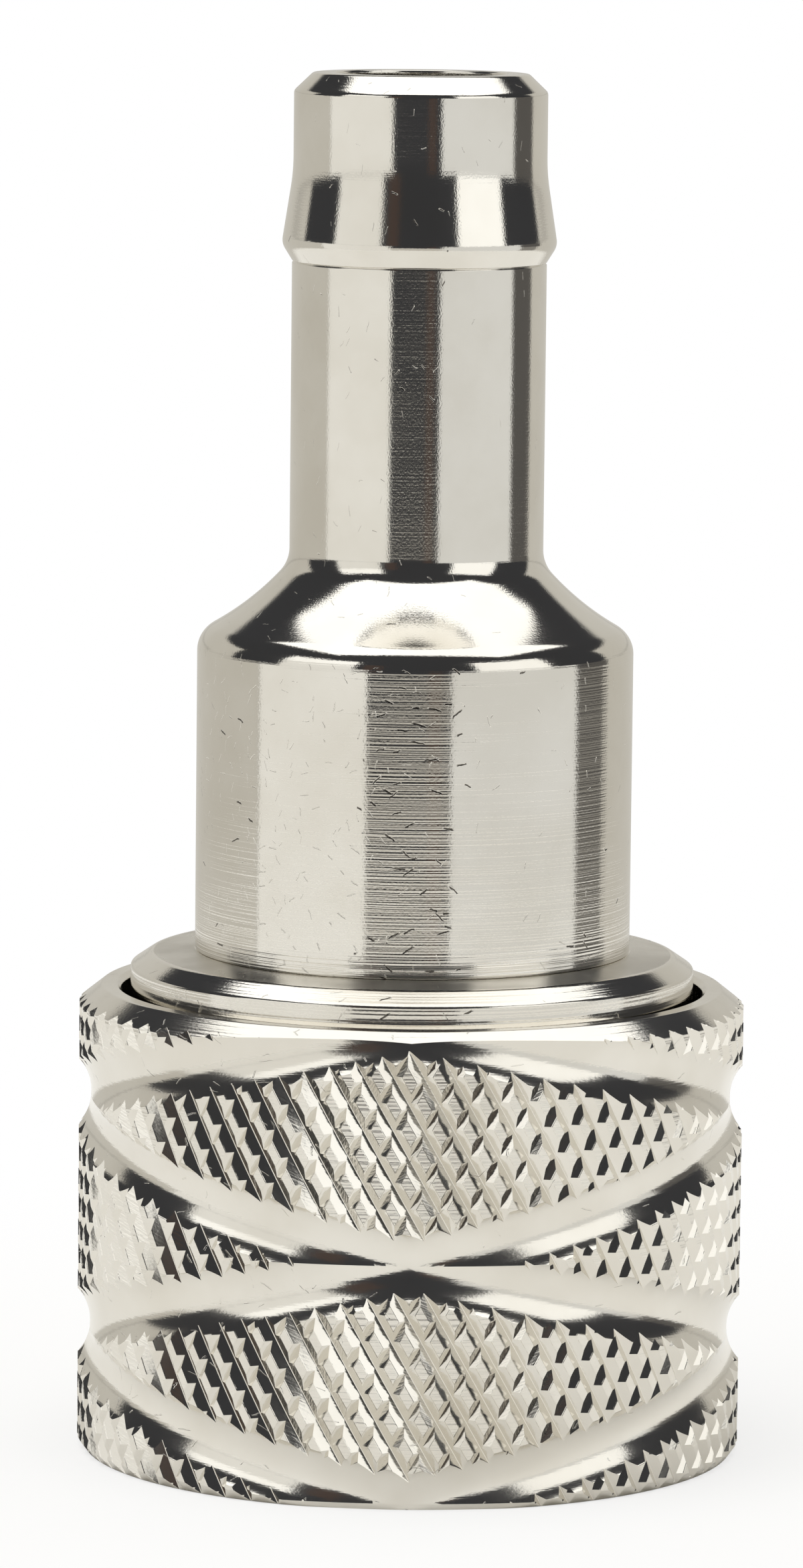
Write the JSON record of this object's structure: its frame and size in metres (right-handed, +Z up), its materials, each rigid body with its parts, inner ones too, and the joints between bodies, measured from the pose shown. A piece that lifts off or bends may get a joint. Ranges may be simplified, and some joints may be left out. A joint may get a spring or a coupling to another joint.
{
  "type": "fuel line connector",
  "caption": "Plated brass fuel line connector: quick coupling socket with a knurled pull-back sleeve, locking balls, shut-off valve and a barbed hose tail.",
  "frame": {"origin": "centre of the mouth plane that the coupling stands on", "axes": "+Z up along the common axis towards the hose tail, -Y is the front"},
  "size_m": [0.0256, 0.0256, 0.0532],
  "materials": {
    "plated_brass": "bright nickel plate over turned brass, with fine turning lines",
    "brass": "bare machined brass",
    "spring_steel": "drawn spring steel wire and strip",
    "ball_steel": "polished ball steel",
    "seal_rubber": "matt black fuel-proof rubber",
    "sealing_washer": "pressed sealing washer"
  },
  "bodies": {
    "root": {"socket_body": "plated_brass", "hose_tail": "plated_brass", "joint_seal": "sealing_washer", "valve_guide": "brass", "plug_seal": "seal_rubber", "valve_spring": "spring_steel"},
    "turning_ring": {"retaining_ring": "spring_steel", "sleeve_spring": "spring_steel"},
    "sleeve": {"sleeve": "plated_brass"},
    "valve": {"valve_poppet": "plated_brass", "valve_seal": "seal_rubber"},
    "lock_ball_1": {"lock_ball_1": "ball_steel"},
    "lock_ball_2": {"lock_ball_2": "ball_steel"},
    "lock_ball_3": {"lock_ball_3": "ball_steel"},
    "lock_ball_4": {"lock_ball_4": "ball_steel"},
    "lock_ball_5": {"lock_ball_5": "ball_steel"},
    "lock_ball_6": {"lock_ball_6": "ball_steel"},
    "lock_ball_7": {"lock_ball_7": "ball_steel"},
    "lock_ball_8": {"lock_ball_8": "ball_steel"}
  },
  "joints": [
    {"name": "sleeve_turn", "type": "hinge", "parent": "root", "child": "turning_ring", "pos_m": [0, 0, 0], "axis": [0, 0, 1], "continuous": true},
    {"name": "sleeve_slide", "type": "slide", "parent": "turning_ring", "child": "sleeve", "axis": [0, 0, 1], "range_m": [0, 0.004], "stiffness_N_per_m": 2500, "springref_m": -0.004, "deforming": ["sleeve_spring"]},
    {"name": "valve_slide", "type": "slide", "parent": "root", "child": "valve", "axis": [0, 0, 1], "range_m": [0, 0.0045], "stiffness_N_per_m": 900, "springref_m": -0.004, "deforming": ["valve_spring"]},
    {"name": "lock_ball_1_slide", "type": "slide", "parent": "root", "child": "lock_ball_1", "axis": [0.3827, -0.9239, 0], "range_m": [0, 0.00085]},
    {"name": "lock_ball_2_slide", "type": "slide", "parent": "root", "child": "lock_ball_2", "axis": [0.9239, -0.3827, 0], "range_m": [0, 0.00085]},
    {"name": "lock_ball_3_slide", "type": "slide", "parent": "root", "child": "lock_ball_3", "axis": [0.9239, 0.3827, 0], "range_m": [0, 0.00085]},
    {"name": "lock_ball_4_slide", "type": "slide", "parent": "root", "child": "lock_ball_4", "axis": [0.3827, 0.9239, 0], "range_m": [0, 0.00085]},
    {"name": "lock_ball_5_slide", "type": "slide", "parent": "root", "child": "lock_ball_5", "axis": [-0.3827, 0.9239, 0], "range_m": [0, 0.00085]},
    {"name": "lock_ball_6_slide", "type": "slide", "parent": "root", "child": "lock_ball_6", "axis": [-0.9239, 0.3827, 0], "range_m": [0, 0.00085]},
    {"name": "lock_ball_7_slide", "type": "slide", "parent": "root", "child": "lock_ball_7", "axis": [-0.9239, -0.3827, 0], "range_m": [0, 0.00085]},
    {"name": "lock_ball_8_slide", "type": "slide", "parent": "root", "child": "lock_ball_8", "axis": [-0.3827, -0.9239, 0], "range_m": [0, 0.00085]}
  ],
  "couplings": [
    {"joint": "lock_ball_1_slide", "follows": "sleeve_slide", "ratio": 0.2125},
    {"joint": "lock_ball_2_slide", "follows": "sleeve_slide", "ratio": 0.2125},
    {"joint": "lock_ball_3_slide", "follows": "sleeve_slide", "ratio": 0.2125},
    {"joint": "lock_ball_4_slide", "follows": "sleeve_slide", "ratio": 0.2125},
    {"joint": "lock_ball_5_slide", "follows": "sleeve_slide", "ratio": 0.2125},
    {"joint": "lock_ball_6_slide", "follows": "sleeve_slide", "ratio": 0.2125},
    {"joint": "lock_ball_7_slide", "follows": "sleeve_slide", "ratio": 0.2125},
    {"joint": "lock_ball_8_slide", "follows": "sleeve_slide", "ratio": 0.2125}
  ]
}
